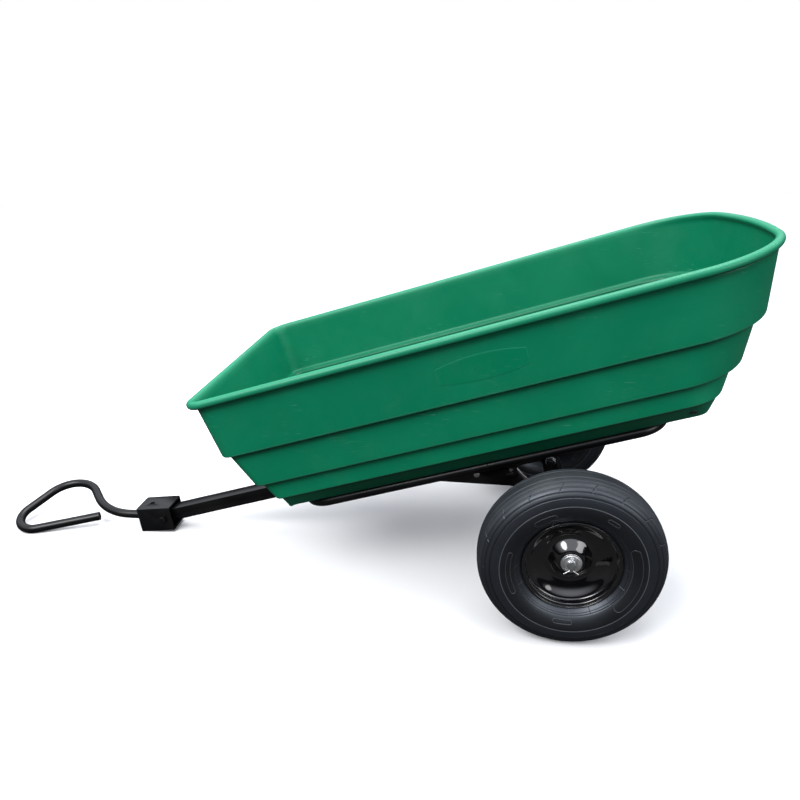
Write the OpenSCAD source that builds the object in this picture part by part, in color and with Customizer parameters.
// Two-wheeled yard cart with a tipping moulded tub, drawn parked: both tyres
// and the nose of the hitch box stand on the ground, so the drawbar slopes down.
// X runs from the hook (-) to the tub's rear (+), Y across, Z up.

/* [Tub] */
// Overall length of the tub over its rolled rim
tub_l = 1325; // [1000:2:1600]
// Overall width of the tub over its rolled rim
tub_w = 707; // [600:1:860]
// Height of the tub from its underside to the middle of the rim
tub_h = 338; // [290:1:420]
// Distance from the rim's front to the axle, along the floor
axle_back = 743; // [640:1:860]
// Wall thickness of the moulding
wall = 4; // [3:0.5:6]
// Radius of the rolled rim
lip_r = 9.5; // [7:0.5:13]
// Height of the lowest ledge over the tub's underside
step3_h = 46; // [42:1:58]
// Height of the middle ledge over the tub's underside
step2_h = 98; // [88:1:120]
// Height of the top ledge over the tub's underside
step1_h = 193; // [166:1:236]
// Width of each ledge along the sides
ledge = 15; // [10:1:20]
// Width of each ledge across the front
ledge_f = 12; // [8:1:18]
// Width of each ledge across the rear
ledge_r = 20; // [12:1:26]
// Lean of the side walls, degrees
draft_side = 5.2; // [2:0.1:8]
// Lean of the front wall's top tier, degrees
draft_front = 3.5; // [2:0.1:8]
// Lean of the front wall's lower tiers, degrees
draft_front_low = 19; // [8:0.5:22]
// Lean of the front wall's lowest tier, degrees
draft_front_foot = 22.5; // [16:0.5:32]
// Lean of the rear wall's top tier, degrees
draft_rear = 16.5; // [4:0.5:20]
// Lean of the rear wall's lower tiers, degrees
draft_rear_low = 24; // [10:0.5:28]
// Lean of the rear wall's lowest tier and band, degrees
draft_rear_foot = 36; // [24:0.5:44]
// How far the lowest band leans in at each side
band_in = 42; // [20:1:50]
// Plan radius of the rim's rear corners
corner_r = 190; // [150:1:230]
// Plan radius of the rim's front corners
corner_f = 42; // [30:1:60]
// Plan radius of the floor's rear corners
corner_floor = 24; // [18:1:60]
// Plan radius of the bowed rear edge
bow_r = 1250; // [1000:10:1800]

/* [Rail under the tub] */
// Radius of the rail tube
rail_r = 12.5; // [10:0.5:15]
// Wall of the rail tube
rail_wall = 2; // [1.5:0.5:3]
// Plan radius of the rail's corners
rail_bend = 62; // [45:1:80]
// Rail set in from the rim's front
rail_in_f = 143; // [110:1:160]
// Rail set in from the rim's rear
rail_in_r = 307; // [260:1:340]

/* [Drawbar and hitch] */
// Distance from the axle to the hitch box pivot, along the drawbar
draw_l = 1112; // [940:1:1300]
// Width of the drawbar tube
draw_w = 42; // [34:1:46]
// Height of the drawbar tube
draw_h = 36; // [28:1:44]
// Wall of the drawbar tube
draw_wall = 2.5; // [2:0.5:4]
// Length of the hitch box
box_l = 103; // [92:1:124]
// Width of the hitch box
box_w = 77; // [68:1:92]
// Height of the hitch box
box_h = 72; // [66:1:84]
// Plate thickness of the hitch box
box_t = 5; // [4:0.5:6]
// Nose-down pitch of the parked hitch box, degrees
box_pitch = 6; // [4:0.1:9]
// Diameter of the hitch pin hole
pin_d = 12; // [10:0.5:16]
// Distance of the hitch pin hole behind the box's front face
pin_s = 35; // [34:1:40]
// Diameter of the box pivot bolt
piv_d = 12; // [10:1:14]

/* [Hook] */
// Radius of the hook rod
rod_r = 12.5; // [9:0.5:14]
// Straight neck before the first sweep
neck = 111; // [100:1:130]
// Reach ahead at the shoulder corner
shoulder_s = 267; // [240:1:300]
// Side reach at the shoulder corner
shoulder_t = 188; // [160:1:210]
// Reach ahead at the toe corner
toe_s = 417; // [390:1:440]
// Side reach at the toe corner
toe_t = 118; // [100:1:130]
// Reach ahead at the free end
tip_s = 123; // [118:1:150]
// Side reach at the free end
tip_t = 14; // [8:1:24]
// Bend radius of the neck sweep
sweep_r1 = 160; // [130:1:180]
// Bend radius at the shoulder
sweep_r2 = 84; // [70:1:95]
// Bend radius at the toe
sweep_r3 = 54; // [44:1:60]

/* [Wheels] */
// Outer radius of the tyre
tyre_r = 203; // [185:1:245]
// Full width of the tyre
tyre_w = 113.4; // [100:0.2:130]
// Distance between the wheels' centre planes
track = 748; // [700:1:860]
// Outer radius of the rim flange
rim_r = 106.5; // [100:0.5:112]
// Half the width between the rim flanges
rim_hw = 34; // [30:0.5:38]
// Radius of the axle rod
axle_r = 10; // [8:0.5:12]

/* [Frame] */
// Height of the tub's underside over the axle line
floor_w = 195; // [185:1:235]
// Thickness of the hanger plates
hang_t = 4; // [3:0.5:6]
// Distance of the front end of each hanger ahead of the axle
hang_front = 262; // [220:1:300]
// Diameter of the hinge bolts
hinge_d = 12; // [10:1:14]
// Distance of the hinge bolts behind the axle
hinge_u = 6; // [0:1:12]
// Depth of the hinge bolts under the rail
hinge_drop = 15; // [14:1:20]
// Diameter of the sliding lock pin
lock_d = 10; // [8:1:12]

/* [Hidden] */
$fn = 64;

// clearances
run = 0.06;          // radial clearance of every turning or sliding fit
hole = 0.3;          // radial clearance of a bolt in its hole
gap = 0.3;           // gap between faces that pass each other
rest = 0.5;          // gap between the rail and the drawbar under it
face = 0.1;          // gap at a washer's turning face

// heights in the frame that slopes with the tub, measured from the axle line
rail_w = floor_w - rail_r;
rail_low = floor_w - 2 * rail_r;
draw_top = rail_low - rest;
draw_mid = draw_top - draw_h / 2;
draw_low = draw_top - draw_h;
hinge_w = rail_low - hinge_drop;
rim_w = floor_w + tub_h;

// slope of the parked cart: the box pivot's height sets it
piv_s = 0.75 * box_l;
piv_z = piv_s * sin(box_pitch) + box_h / 2 * cos(box_pitch);
tilt = atan2(draw_mid, draw_l)
    + asin((tyre_r - piv_z) / norm([draw_l, draw_mid]));

// rim centre line and the floor's plan
lip_hw = tub_w / 2 - lip_r;
lip_f = -axle_back + lip_r;
lip_b = tub_l - axle_back - lip_r;
top_in = 7;
top_in_f = 8;
top_in_r = 1;
s1o_w = step1_h + 2;  s1i_w = step1_h - 4;
s2o_w = step2_h + 2;  s2i_w = step2_h - 3;
s3o_w = step3_h + 2;  s3i_w = step3_h - 4;
top_w = tub_h - 7;
// running insets of the walls from the rim centre line: side, front, rear
a1 = [top_in + (top_w - s1o_w) * tan(draft_side),
    top_in_f + (top_w - s1o_w) * tan(draft_front),
    top_in_r + (top_w - s1o_w) * tan(draft_rear)];
b1 = a1 + [ledge, ledge_f, ledge_r];
a2 = b1 + (s1i_w - s2o_w) * [tan(draft_side), tan(draft_front_low), tan(draft_rear_low)];
b2 = a2 + [ledge, ledge_f, ledge_r];
a3 = b2 + (s2i_w - s3o_w) * [tan(draft_side), tan(draft_front_foot), tan(draft_rear_foot)];
b3 = a3 + [ledge, ledge_f - 5, 5];
a4 = b3 + [band_in - 4, 2, s3i_w * tan(draft_rear_foot)];
floor_hw = lip_hw - a4[0];

// rail plan
rail_y = floor_hw - 12;
rail_f = -axle_back + rail_in_f;
rail_b = tub_l - axle_back - rail_in_r;
hang_out = rail_y - rail_r - 3.5;      // outer face of each hanger plate
hang_in = hang_out - hang_t;
lug_in = hang_out + 2;
lug_t = 6;
lock_u = hinge_u - 94;
lock_w = hinge_w - 3;
lock_throw = 12;
bolt_y = 0.5 * rail_y;
tub_bolt_at = [[rail_f, bolt_y], [rail_f, -bolt_y], [rail_b, bolt_y], [rail_b, -bolt_y]];

// hitch box and hook
piv_x = -draw_l * cos(tilt) - draw_mid * sin(tilt);
box_x = piv_x - (piv_s * cos(box_pitch) - box_h / 2 * sin(box_pitch));
bend_r = 40;
stub = 8;
sh_x = box_x - box_h / 2 * sin(box_pitch) - stub * cos(box_pitch) - bend_r * sin(box_pitch);
sh_z = box_h / 2 * cos(box_pitch) - stub * sin(box_pitch) - bend_r * (1 - cos(box_pitch));
hook_pts = [[0, 0], [-neck, 0], [-shoulder_s, shoulder_t], [-toe_s, -toe_t], [-tip_s, -tip_t]];
hook_rad = [0, sweep_r1, sweep_r2, sweep_r3, 0];
toe_c = bend_centre(hook_pts, hook_rad, 3);
hook_roll = asin((sh_z - rod_r) / (sweep_r3 - toe_c[1]));

// axle line in X, so that the middle of the whole length falls on the origin
x_min = sh_x + toe_c[0] - sweep_r3 - rod_r;
x_max = lip_b * cos(tilt) - rim_w * sin(tilt) + lip_r;
ax_x = -(x_min + x_max) / 2;

// wheel stations across the cart, measured from the middle
wheel_y = track / 2;
hub_in = wheel_y - 44;
hub_out = wheel_y + 21;
bush_f = 2;
axle_end = hub_out + bush_f + 15;
cotter_y = axle_end - 7;

function heading(a, b) = atan2(b[1] - a[1], b[0] - a[0]);
function wrap(a) = a > 180 ? a - 360 : a <= -180 ? a + 360 : a;
function turn_at(p, i) = wrap(heading(p[i], p[i + 1]) - heading(p[i - 1], p[i]));
function tangent(p, r, i) =
    (i == 0 || i == len(p) - 1) ? 0 : r[i] * tan(abs(turn_at(p, i)) / 2);
function bend_centre(p, r, i) =
    let (h = heading(p[i - 1], p[i]), s = sign(turn_at(p, i)))
    p[i] - tangent(p, r, i) * [cos(h), sin(h)] + s * r[i] * [-sin(h), cos(h)];

// round rod along a flat route with a bend at each inner corner: the rod draws
// down by a hair in each bend, and the straight legs lap into the bends
draw_in = 0.05;
lap = 0.5;
module rod_route(p, r, rad) {
    for (i = [0:len(p) - 2]) {
        h = heading(p[i], p[i + 1]);
        s = tangent(p, r, i) - lap;
        e = i == len(p) - 2 ? 0 : tangent(p, r, i + 1) - lap;
        translate([p[i][0] + s * cos(h), p[i][1] + s * sin(h), 0]) rotate([0, 90, h])
            cylinder(r = rad, h = norm(p[i + 1] - p[i]) - s - e);
    }
    for (i = [1:len(p) - 2]) {
        h = heading(p[i - 1], p[i]);
        t = turn_at(p, i);
        c = bend_centre(p, r, i);
        translate([c[0], c[1], 0]) rotate([0, 0, t > 0 ? h - 90 : h + 90 + t])
            rotate_extrude(angle = abs(t)) translate([r[i], 0]) circle(r = rad - draw_in);
    }
}

// frame that slopes with the tub: origin on the axle line
module sloped() translate([ax_x, 0, tyre_r]) rotate([0, -tilt, 0]) children();
// frame of the hitch box: origin at the middle of its lower front edge
module boxed() translate([ax_x + box_x, 0, 0]) rotate([0, -box_pitch, 0]) children();
module at_axle() translate([ax_x, 0, tyre_r]) children();
// round bar from y0 to y1 along Y
module bar_y(r, y0, y1, u = 0, w = 0)
    translate([u, y0, w]) rotate([-90, 0, 0]) cylinder(r = r, h = y1 - y0);
module hex_y(af, y0, y1, u = 0, w = 0)
    translate([u, y0, w]) rotate([-90, 0, 0]) cylinder(r = af / sqrt(3), h = y1 - y0, $fn = 6);
// right-side shape as drawn, left-side shape mirrored
module side(s) { if (s > 0) children(); else mirror([0, 1, 0]) children(); }

// ---- tub -------------------------------------------------------------------
// one level of the tub's plan: straight front, two front corners, straight
// sides, two rear corners and a bowed rear, n points in all
nb = 5; nr = 12; nf = 7;
function plan(hw, uf, ub, rf, rr, w) =
    let (yc = hw - rr, cb = ub - bow_r,
        uc = cb + sqrt(pow(bow_r - rr, 2) - yc * yc),
        be = atan2(yc, uc - cb),
        half = concat(
            [for (j = [1:nb]) let (a = be * j / nb) [cb + bow_r * cos(a), bow_r * sin(a), w]],
            [for (j = [1:nr]) let (a = be + (90 - be) * j / nr)
                [uc + rr * cos(a), yc + rr * sin(a), w]],
            [for (j = [0:nf]) let (a = 90 + 90 * j / nf)
                [uf + rf + rf * cos(a), hw - rf + rf * sin(a), w]]))
    concat([[ub, 0, w]], half, [for (i = [len(half) - 1:-1:0]) [half[i][0], -half[i][1], w]]);
// rear corner radius at height w: it closes in fast under the middle ledge
foot_r = corner_r - 0.9 * b2[0];
function rear_r(q, w) = w >= s2i_w ? corner_r - 0.9 * q
    : corner_floor + (foot_r - corner_floor) * max(w, 0) / s2i_w;
// a level set in by q = [side, front, rear] from the rim centre line, at height
// w, and grown by d; lift is how far it is raised as the inner skin
function level(q, w, d = 0, lift = 0) =
    plan(lip_hw - q[0] + d, lip_f + q[1] - d, lip_b - q[2] + d,
        corner_f - 0.4 * q[0] + d, rear_r(q[0], w) + d, floor_w + w + lift);
bead_at = [-135, -95, -55, -tilt, 25, 65, 105, 165];
outer_levels = [[a4 + [6, 6, 6], 0], [a4, 3.5], [b3 + [1, 1, 1], s3i_w - 1],
    [b3 - [9, 4, 3], s3i_w + 1], [a3, s3o_w], [b2, s2i_w], [b2 - [11, 8, 14], s2i_w + 1.5],
    [a2, s2o_w + 2], [b1, s1i_w], [b1 - [11, 8, 14], s1i_w + 1.5], [a1, s1o_w + 2]];
n_out = len(outer_levels);
rings = concat(
    [for (q = outer_levels) level(q[0], q[1])],
    [for (a = bead_at) level([0, 0, 0], tub_h + lip_r * sin(a), lip_r * cos(a))],
    [level([top_in, top_in_f + 1, top_in_r + 4], tub_h - 8, -wall)],
    [for (i = [n_out - 1:-1:0]) level(outer_levels[i][0], outer_levels[i][1], -wall, wall)]);

module skin(r) {
    n = len(r[0]);
    m = len(r);
    polyhedron(points = [for (q = r) each q],
        faces = concat(
            [[for (j = [0:n - 1]) j]],
            [for (i = [0:m - 2]) for (j = [0:n - 1]) let (k = (j + 1) % n)
                each [[i * n + j, (i + 1) * n + j, (i + 1) * n + k],
                    [i * n + j, (i + 1) * n + k, i * n + k]]],
            [[for (j = [n - 1:-1:0]) (m - 1) * n + j]]));
}

plug_u = tub_l - axle_back - 255;
band_a = atan2(band_in - 4, s3i_w - 4.5);
module at_plug() translate([plug_u, -(lip_hw - (a4[0] + b3[0]) / 2), floor_w + (s3i_w + 2.5) / 2])
    rotate([180 - (90 - band_a), 0, 0]) children();

module tub() color([0.06, 0.47, 0.32]) sloped() difference() {
    skin(rings);
    for (p = tub_bolt_at) translate([p[0], p[1], floor_w - 1]) cylinder(r = 4 + hole, h = wall + 2);
    at_plug() translate([0, 0, -12]) cylinder(r = 5, h = 24);
}
module drain_plug() color([0.1, 0.1, 0.1]) sloped() at_plug() {
    translate([0, 0, 0.2]) cylinder(r = 7.5, h = 2.4);
    translate([0, 0, -8]) cylinder(r = 4.9, h = 8.4);
}

// ---- rail and what is fixed to it --------------------------------------------
module rail_loop(r) {
    for (s = [-1, 1]) {
        translate([rail_f + rail_bend, s * rail_y, rail_w]) rotate([0, 90, 0])
            cylinder(r = r, h = rail_b - rail_f - 2 * rail_bend);
    }
    for (u = [rail_f, rail_b]) bar_y(r, -rail_y + rail_bend, rail_y - rail_bend, u, rail_w);
    for (c = [[rail_b - rail_bend, rail_y - rail_bend, 0], [rail_f + rail_bend, rail_y - rail_bend, 90],
        [rail_f + rail_bend, -rail_y + rail_bend, 180], [rail_b - rail_bend, -rail_y + rail_bend, 270]])
        translate([c[0], c[1], rail_w]) rotate([0, 0, c[2]])
            rotate_extrude(angle = 90) translate([rail_bend, 0]) circle(r = r);
}
module bed_rail() color([0.07, 0.07, 0.08]) sloped() difference() {
    rail_loop(rail_r);
    rail_loop(rail_r - rail_wall);
    for (p = tub_bolt_at) translate([p[0], p[1], rail_low - 1]) cylinder(r = 4 + hole, h = 2 * rail_r + 2);
}
module rail_side_rod() translate([rail_f + rail_bend, rail_y, rail_w]) rotate([0, 90, 0])
    cylinder(r = rail_r, h = rail_b - rail_f - 2 * rail_bend);
// plate hanging from the rail with one cross hole
module lug(u, w, r_out, r_hole, top_l) difference() {
    union() {
        translate([u, lug_in + lug_t, w]) rotate([90, 0, 0]) linear_extrude(lug_t) union() {
            circle(r = r_out);
            polygon([[-top_l / 2, rail_w - w], [-top_l / 2, rail_w - w - 8], [-r_out, 0],
                [r_out, 0], [top_l / 2, rail_w - w - 8], [top_l / 2, rail_w - w]]);
        }
    }
    bar_y(r_hole, lug_in - 1, lug_in + lug_t + 1, u, w);
    rail_side_rod();
}
module hinge_lug(s) color([0.08, 0.08, 0.09]) sloped() side(s)
    lug(hinge_u, hinge_w, 13, hinge_d / 2 + run, 50);
module hinge_lug_left() hinge_lug(-1);
module hinge_lug_right() hinge_lug(1);
// its hole runs out to the front as a notch
module lock_lug() color([0.08, 0.08, 0.09]) sloped() side(-1) difference() {
    lug(lock_u, lock_w, 15, lock_d / 2 + 2, 40);
    translate([lock_u - 30, lug_in - 1, lock_w - lock_d / 2 - 2]) cube([30, lug_t + 2, lock_d + 4]);
}

module tub_bolts() color([0.72, 0.73, 0.75]) sloped()
    for (p = tub_bolt_at) translate([p[0], p[1], 0]) {
        translate([0, 0, floor_w + wall]) cylinder(r1 = 9, r2 = 5, h = 3);
        translate([0, 0, rail_low - 11]) cylinder(r = 4, h = floor_w + wall + 0.5 - rail_low + 11);
    }
module tub_washers() color([0.72, 0.73, 0.75]) sloped()
    for (p = tub_bolt_at) translate([p[0], p[1], rail_low - 1.6]) difference() {
        cylinder(r = 8.5, h = 1.6);
        translate([0, 0, -1]) cylinder(r = 4.2, h = 4);
    }
module tub_nuts() color([0.72, 0.73, 0.75]) sloped()
    for (p = tub_bolt_at) translate([p[0], p[1], rail_low - 8.4]) difference() {
        cylinder(r = 13 / sqrt(3), h = 6.8, $fn = 6);
        translate([0, 0, -1]) cylinder(r = 4.05, h = 9);
    }

// ---- chassis -----------------------------------------------------------------
draw_back = hinge_u + 24;
draw_nose = draw_l + 20;
module drawbar() color([0.07, 0.07, 0.08]) sloped() difference() {
    translate([-draw_nose, -draw_w / 2, draw_low]) cube([draw_nose + draw_back, draw_w, draw_h]);
    translate([-draw_nose - 1, -draw_w / 2 + draw_wall, draw_low + draw_wall])
        cube([draw_nose + draw_back + 2, draw_w - 2 * draw_wall, draw_h - 2 * draw_wall]);
    bar_y(piv_d / 2 + hole, -draw_w, draw_w, -draw_l, draw_mid);
    for (u = [-4, 16]) translate([hinge_u + u, 0, draw_low - 1]) cylinder(r = 5 + hole, h = draw_h + 2);
}

hang_lo = draw_low - 25;
module hanger(s) color([0.06, 0.06, 0.07]) sloped() side(s) difference() {
    translate([0, hang_out, 0]) rotate([90, 0, 0]) linear_extrude(hang_t) difference() {
        union() {
            circle(r = 28);
            polygon([[-hang_front, draw_top], [-hang_front, draw_top - 8], [-95, hang_lo],
                [-28, 0], [28, 0], [28, draw_top - 18], [18, draw_top]]);
        }
        polygon([[-74, draw_top - 12], [-14, draw_top - 12], [-14, 36], [-74, hang_lo + 23]]);
    }
    bar_y(axle_r + 0.1, hang_in - 1, hang_out + 1);
    bar_y(hinge_d / 2 + hole, hang_in - 1, hang_out + 1, hinge_u, hinge_w);
    bar_y(lock_d / 2 + run, hang_in - 1, hang_out + 1, lock_u, lock_w);
    bar_y(4 + hole, hang_in - 1, hang_out + 1, -170, draw_top - 10);
}
module hanger_left() hanger(-1);
module hanger_right() hanger(1);

cross_h = 30;
module crossmember() color([0.07, 0.07, 0.08]) sloped() difference() {
    translate([hinge_u - 18, -hang_in, draw_low - cross_h]) cube([40, 2 * hang_in, cross_h]);
    translate([hinge_u - 15.5, -hang_in - 1, draw_low - cross_h + 2.5])
        cube([35, 2 * hang_in + 2, cross_h - 5]);
    for (u = [-4, 16]) translate([hinge_u + u, 0, draw_low - cross_h - 1])
        cylinder(r = 5 + hole, h = cross_h + 2);
}
module outrigger(s) color([0.07, 0.07, 0.08]) sloped() side(s) difference() {
    translate([-180, draw_w / 2, draw_top - 20]) cube([20, hang_in - draw_w / 2, 20]);
    bar_y(4.05, hang_in - 25, hang_in + 1, -170, draw_top - 10);
}
module outrigger_left() outrigger(-1);
module outrigger_right() outrigger(1);
module hanger_bolts() color([0.75, 0.76, 0.78]) sloped() for (s = [-1, 1]) side(s) {
    hex_y(13, hang_out, hang_out + 5.3, -170, draw_top - 10);
    bar_y(4, hang_in - 22, hang_out + 0.1, -170, draw_top - 10);
}
module drawbar_bolts() color([0.72, 0.73, 0.75]) sloped() for (u = [-4, 16])
    translate([hinge_u + u, 0, 0]) {
        translate([0, 0, draw_top]) cylinder(r = 16 / sqrt(3), h = 6.4, $fn = 6);
        translate([0, 0, draw_low - cross_h - 12]) cylinder(r = 5, h = draw_h + cross_h + 12.1);
    }
module drawbar_nuts() color([0.72, 0.73, 0.75]) sloped() for (u = [-4, 16])
    translate([hinge_u + u, 0, draw_low - cross_h - 8]) difference() {
        cylinder(r = 16 / sqrt(3), h = 8, $fn = 6);
        translate([0, 0, -1]) cylinder(r = 5.05, h = 10);
    }

// hinge bolts: head inside the hanger, nut outside the lug
module hinge_bolts() color([0.72, 0.73, 0.75]) sloped() for (s = [-1, 1]) side(s) {
    hex_y(18, hang_in - 7.5, hang_in, hinge_u, hinge_w);
    bar_y(hinge_d / 2, hang_in - 0.1, lug_in + lug_t + 13, hinge_u, hinge_w);
}
module ring_y(r0, r1, y0, y1, u = 0, w = 0) difference() {
    bar_y(r1, y0, y1, u, w);
    bar_y(r0, y0 - 1, y1 + 1, u, w);
}
module hinge_inner_washers() color([0.72, 0.73, 0.75]) sloped() for (s = [-1, 1]) side(s)
    ring_y(hinge_d / 2 + 0.1, 12, hang_out, lug_in - face, hinge_u, hinge_w);
module hinge_outer_washers() color([0.72, 0.73, 0.75]) sloped() for (s = [-1, 1]) side(s)
    ring_y(hinge_d / 2 + 0.1, 12, lug_in + lug_t + face, lug_in + lug_t + 1.9, hinge_u, hinge_w);
module hinge_nuts() color([0.72, 0.73, 0.75]) sloped() for (s = [-1, 1]) side(s) difference() {
    hex_y(18, lug_in + lug_t + 1.9, lug_in + lug_t + 11.9, hinge_u, hinge_w);
    bar_y(hinge_d / 2 + 0.05, lug_in, lug_in + lug_t + 14, hinge_u, hinge_w);
}

// lock pin drawn back, in its guide on the left hanger
guide_l = 16;
module lock_guide() color([0.08, 0.08, 0.09]) sloped() side(-1) difference() {
    translate([lock_u - 11, hang_in - guide_l, lock_w - 11]) cube([22, guide_l, 22]);
    bar_y(lock_d / 2 + run, hang_in - guide_l - 1, hang_in + 1, lock_u, lock_w);
}
lock_back = hang_in - guide_l - lock_throw - 8;
module lock_pin() color([0.75, 0.76, 0.78]) sloped() side(-1)
    translate([lock_u, 0, lock_w]) {
        bar_y(lock_d / 2, lock_back, hang_out - 1);
        translate([0, lock_back, 0]) rotate([0, 180 - 27, 0]) cylinder(r = lock_d / 2 - 1, h = 58);
        translate([0, lock_back, 0]) sphere(r = lock_d / 2);
    }

// ---- hitch box and hook ----------------------------------------------------------
cham = 4;
bush_r = rod_r + 4;
box_mid = box_h / 2;
module hitch_box() color([0.07, 0.07, 0.08]) boxed() difference() {
    linear_extrude(box_h) polygon([[0, -box_w / 2 + cham], [cham, -box_w / 2], [box_l, -box_w / 2],
        [box_l, box_w / 2], [cham, box_w / 2], [0, box_w / 2 - cham]]);
    translate([box_t, -box_w / 2 + box_t, box_t]) linear_extrude(box_h - 2 * box_t) polygon(
        [[0, cham - 2], [cham - 2, 0], [box_l, 0], [box_l, box_w - 2 * box_t],
            [cham - 2, box_w - 2 * box_t], [0, box_w - 2 * box_t - cham + 2]]);
    translate([-1, 0, box_mid]) rotate([0, 90, 0]) cylinder(r = bush_r, h = box_t + 2);
    translate([pin_s, 0, -1]) cylinder(r = pin_d / 2, h = box_h + 2);
    bar_y(piv_d / 2 + run, -box_w, box_w, piv_s, box_mid);
}
bush_l = 11;
module hook_bushing() color([0.3, 0.3, 0.32]) boxed() translate([0, 0, box_mid]) rotate([0, 90, 0])
    difference() {
        cylinder(r = bush_r, h = bush_l);
        translate([0, 0, -1]) cylinder(r = rod_r + run, h = bush_l + 2);
    }
hw_t = 2.5;
hn_t = 9;
module hook_washer() color([0.72, 0.73, 0.75]) boxed() translate([bush_l + face, 0, box_mid])
    rotate([0, 90, 0]) difference() {
        cylinder(r = rod_r + 7, h = hw_t);
        translate([0, 0, -1]) cylinder(r = rod_r + 0.2, h = hw_t + 2);
    }
module hook_nut() color([0.72, 0.73, 0.75]) boxed() translate([bush_l + face + hw_t, 0, box_mid])
    rotate([0, 90, 0]) difference() {
        cylinder(r = (2 * rod_r + 8) / sqrt(3), h = hn_t, $fn = 6);
        translate([0, 0, -1]) cylinder(r = rod_r + 0.05, h = hn_t + 2);
    }
module hook() color([0.08, 0.08, 0.09]) {
    boxed() translate([-stub - lap, 0, box_mid]) rotate([0, 90, 0])
        cylinder(r = rod_r, h = lap + stub + bush_l + face + hw_t + hn_t + 1.5);
    boxed() translate([-stub, 0, box_mid + bend_r]) rotate([90, 0, 0])
        rotate([0, 0, 270 - box_pitch]) rotate_extrude(angle = box_pitch)
        translate([bend_r, 0]) circle(r = rod_r - draw_in);
    translate([ax_x + sh_x, 0, sh_z]) rotate([hook_roll, 0, 0]) rod_route(hook_pts, hook_rad, rod_r);
}
module box_pivot_bolt() color([0.72, 0.73, 0.75]) boxed() {
    hex_y(18, -box_w / 2 - 7.5, -box_w / 2 - face, piv_s, box_mid);
    bar_y(piv_d / 2, -box_w / 2 - 0.5, box_w / 2 + 12, piv_s, box_mid);
}
module box_pivot_nut() color([0.72, 0.73, 0.75]) boxed() difference() {
    hex_y(18, box_w / 2 + face, box_w / 2 + 10, piv_s, box_mid);
    bar_y(piv_d / 2 + 0.05, 0, box_w, piv_s, box_mid);
}
// tube spacers between the drawbar's sides and the box's cheeks
module box_spacers() color([0.5, 0.5, 0.52]) boxed() for (s = [-1, 1]) side(s)
    ring_y(piv_d / 2 + 0.02, 11, draw_w / 2, box_w / 2 - box_t - face, piv_s, box_mid);

// ---- axle ------------------------------------------------------------------------
module axle() color([0.6, 0.61, 0.63]) at_axle() difference() {
    bar_y(axle_r, -axle_end, axle_end);
    for (s = [-1, 1]) translate([0, s * cotter_y, -axle_r - 1]) cylinder(r = 2.1, h = 2 * axle_r + 2);
}
module axle_spacers() color([0.08, 0.08, 0.09]) at_axle() for (s = [-1, 1]) side(s)
    ring_y(axle_r + 0.15, axle_r + 4, hang_out, hub_in - bush_f - 2.7, 0, 0);
module axle_inner_washers() color([0.72, 0.73, 0.75]) at_axle() for (s = [-1, 1]) side(s)
    ring_y(axle_r + 0.2, 20, hub_in - bush_f - 2.6, hub_in - bush_f - face);
module axle_large_washers() color([0.75, 0.76, 0.78]) at_axle() for (s = [-1, 1]) side(s)
    ring_y(axle_r + 0.2, 23, hub_out + bush_f + face, hub_out + bush_f + 2.5);
module axle_small_washers() color([0.75, 0.76, 0.78]) at_axle() for (s = [-1, 1]) side(s)
    ring_y(axle_r + 0.2, 19.5, hub_out + bush_f + 2.5, hub_out + bush_f + 5);
// split pins: eye on top, shank through the axle, two legs spread below
module cotter_pins() color([0.75, 0.76, 0.78]) at_axle() for (s = [-1, 1]) side(s)
    translate([0, cotter_y, 0]) {
        translate([0, 0, -axle_r - 3.2]) cylinder(r = 1.9, h = 2 * axle_r + 5.2);
        translate([0, 0, axle_r + 4.5]) rotate([90, 0, 0])
            rotate_extrude() translate([2.6, 0]) circle(r = 1.3, $fn = 24);
        for (a = [-1, 1]) translate([0, 0, -axle_r - 2]) rotate([0, 180 + a * 54, 0])
            cylinder(r = 1.4, h = 19, $fn = 24);
    }

// ---- wheels: profiles are [radius, offset outward from the centre plane] ------------
belly = tyre_r - 52;          // radius of the widest part of the sidewall
bead_r = rim_r - 6.3;
function oval(q, b, a, n, r) = b * pow(max(0, 1 - pow(abs(r - belly) / a, n)), 1 / n) + q;
side_lo = belly - rim_r - 3;
tyre_b = tyre_w / 2;
// outer skin from bead to crown, inner skin back, one half
out_half = concat([[bead_r, rim_hw - 13], [bead_r, rim_hw - 3.8],
        [bead_r + 1.9, rim_hw - 2.35], [rim_r + 1, rim_hw - 2.3]],
    [for (i = [0:7]) let (r = rim_r + 3 + side_lo * i / 8) [r, oval(0, tyre_b, 52.8, 2, r)]],
    [for (i = [0:10]) let (a = 9 * i)
        [belly + (tyre_r - belly) * pow(sin(a), 2 / 2.6), tyre_b * pow(max(0, cos(a)), 2 / 2.6)]]);
in_half = concat([for (i = [0:8]) let (a = 90 - 11.25 * i)
        [belly + (tyre_r - belly - 9) * pow(max(0, sin(a)), 2 / 2.4),
            (tyre_b - 6) * pow(max(0, cos(a)), 2 / 2.4)]],
    [for (i = [1:6]) let (r = belly - (side_lo + 1) * i / 6) [r, oval(0, tyre_b - 6, 48.4, 2, r)]]);
tyre_profile = concat(out_half, [for (i = [len(out_half) - 2:-1:0]) [out_half[i][0], -out_half[i][1]]],
    [for (i = [len(in_half) - 1:-1:0]) [in_half[i][0], -in_half[i][1]]],
    [for (i = [1:len(in_half) - 1]) in_half[i]]);
groove_at = [14, 28, 40];
function crown_r(z) = belly + (tyre_r - belly) * pow(1 - pow(z / tyre_b, 2.6), 1 / 2.6);
module tyre() color([0.09, 0.09, 0.1]) difference() {
    rotate_extrude($fn = 96) polygon(tyre_profile);
    for (z = groove_at) for (s = [-1, 1]) rotate_extrude($fn = 96)
        translate([crown_r(z) - 3, s * z - 1.25]) square([12, 2.5]);
}
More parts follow.
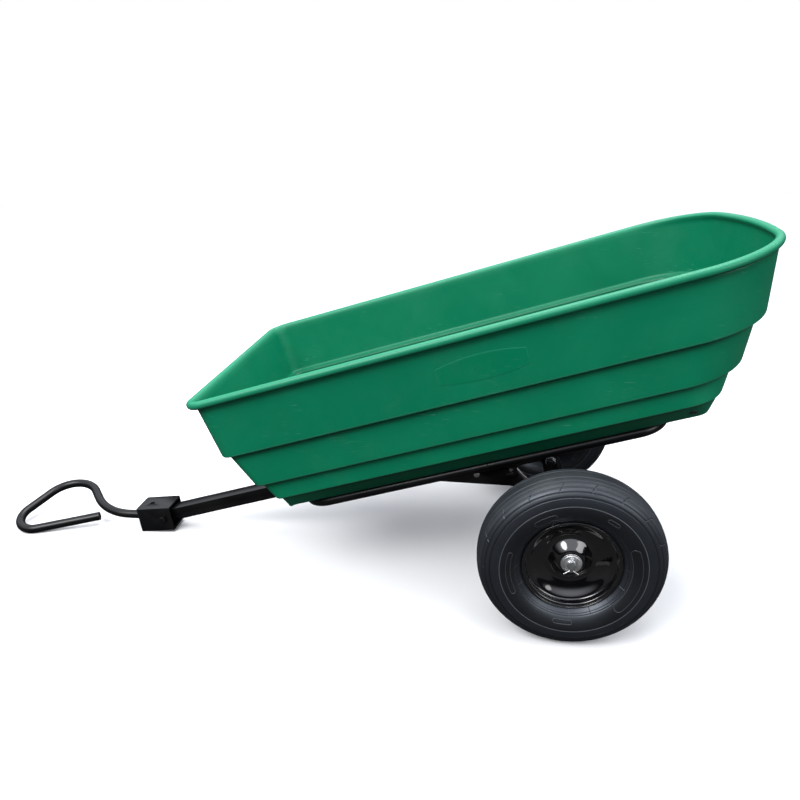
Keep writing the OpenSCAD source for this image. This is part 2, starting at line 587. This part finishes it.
// sheet of even thickness along a profile
function nrm(a, b) = [-(b - a)[1], (b - a)[0]] / norm(b - a);
function off(p, t) = [for (i = [0:len(p) - 1])
    let (n1 = nrm(p[max(i - 1, 0)], p[max(i, 1)]),
        n2 = nrm(p[min(i, len(p) - 2)], p[min(i + 1, len(p) - 1)]),
        m = n1 + n2)
    p[i] + t * m / (m * m) * 2];
function sheet(p, t) = let (o = off(p, t / 2), q = off(p, -t / 2))
    concat(o, [for (i = [len(q) - 1:-1:0]) q[i]]);
hub_r = 16;
rim_t = 2;
rim_path = [[rim_r - 1, rim_hw + 2], [rim_r - 2, rim_hw - 0.5], [rim_r - 5, rim_hw - 1.3],
    [bead_r - 1.2, rim_hw - 3.2], [bead_r - 2, rim_hw - 12], [bead_r - 4.5, rim_hw - 15.5],
    [bead_r - 10, 16], [78, 8.5], [64, 3], [58, 1], [50, 1], [44, 4], [30, 16], [24, 18.5],
    [hub_r + 0.07, 19]];
valve_a = 12;       // turn of the valve about the axle, down from the rear
valve_twist = -54;  // the stem's lean, turned up from its own radius
valve_lean = 50;    // lean of the stem away from the axle
module at_valve() rotate([0, 0, valve_a]) translate([62, 0, 2.2])
    rotate([0, 0, valve_twist]) rotate([0, valve_lean, 0]) children();
module rim_half() rotate_extrude($fn = 96) polygon(sheet(rim_path, rim_t));
// wheel frame: Z points out of the cart on either side
module wheel(s) at_axle() side(s) translate([0, wheel_y, 0]) rotate([-90, 0, 0]) children();
module rim_outer(s) color([0.05, 0.05, 0.06]) wheel(s) difference() {
    rim_half();
    at_valve() translate([0, 0, -12]) cylinder(r = 5, h = 26);
}
module rim_inner(s) color([0.05, 0.05, 0.06]) wheel(s) difference() {
    mirror([0, 0, 1]) rim_half();
    at_valve() translate([0, 0, -12]) cylinder(r = 5.4, h = 26);
}
module hub(s) color([0.2, 0.2, 0.21]) wheel(s) translate([0, 0, hub_in - wheel_y]) difference() {
    cylinder(r = hub_r, h = hub_out - hub_in);
    translate([0, 0, -1]) cylinder(r = axle_r + 3, h = hub_out - hub_in + 2);
}
bush_len = 24;
module bushings(s) color([0.35, 0.34, 0.32]) wheel(s) for (k = [0, 1])
    translate([0, 0, k == 0 ? hub_in - wheel_y : hub_out - wheel_y]) mirror([0, 0, k == 0 ? 0 : 1])
        difference() {
            union() {
                cylinder(r = axle_r + 3, h = bush_len);
                translate([0, 0, -bush_f]) cylinder(r = hub_r, h = bush_f);
            }
            translate([0, 0, -bush_f - 1]) cylinder(r = axle_r + run, h = bush_len + bush_f + 2);
        }
module valve_stem(s) color([0.1, 0.1, 0.1]) wheel(s) at_valve() {
    translate([0, 0, -4]) cylinder(r = 5, h = 22);
    translate([0, 0, 18]) cylinder(r = 3.6, h = 5);
}
module valve_cap(s) color([0.12, 0.12, 0.12]) wheel(s) at_valve() translate([0, 0, 18.2]) difference() {
    cylinder(r = 4.6, h = 11);
    translate([0, 0, -1]) cylinder(r = 3.7, h = 7);
}
module tyre_left() wheel(-1) tyre();
module tyre_right() wheel(1) tyre();
module rim_outer_left() rim_outer(-1);
module rim_outer_right() rim_outer(1);
module rim_inner_left() rim_inner(-1);
module rim_inner_right() rim_inner(1);
module hub_left() hub(-1);
module hub_right() hub(1);
module bushings_left() bushings(-1);
module bushings_right() bushings(1);
module valve_stem_left() valve_stem(-1);
module valve_stem_right() valve_stem(1);
module valve_cap_left() valve_cap(-1);
module valve_cap_right() valve_cap(1);

tub();
bed_rail();
hinge_lug_left();
hinge_lug_right();
lock_lug();
tub_bolts();
tub_washers();
tub_nuts();
drain_plug();
drawbar();
hanger_left();
hanger_right();
crossmember();
outrigger_left();
outrigger_right();
hanger_bolts();
drawbar_bolts();
drawbar_nuts();
hinge_bolts();
hinge_inner_washers();
hinge_outer_washers();
hinge_nuts();
lock_guide();
lock_pin();
hitch_box();
hook_bushing();
hook();
hook_washer();
hook_nut();
box_pivot_bolt();
box_pivot_nut();
box_spacers();
axle();
axle_spacers();
axle_inner_washers();
axle_large_washers();
axle_small_washers();
cotter_pins();
tyre_left();
rim_outer_left();
rim_inner_left();
hub_left();
bushings_left();
valve_stem_left();
valve_cap_left();
tyre_right();
rim_outer_right();
rim_inner_right();
hub_right();
bushings_right();
valve_stem_right();
valve_cap_right();
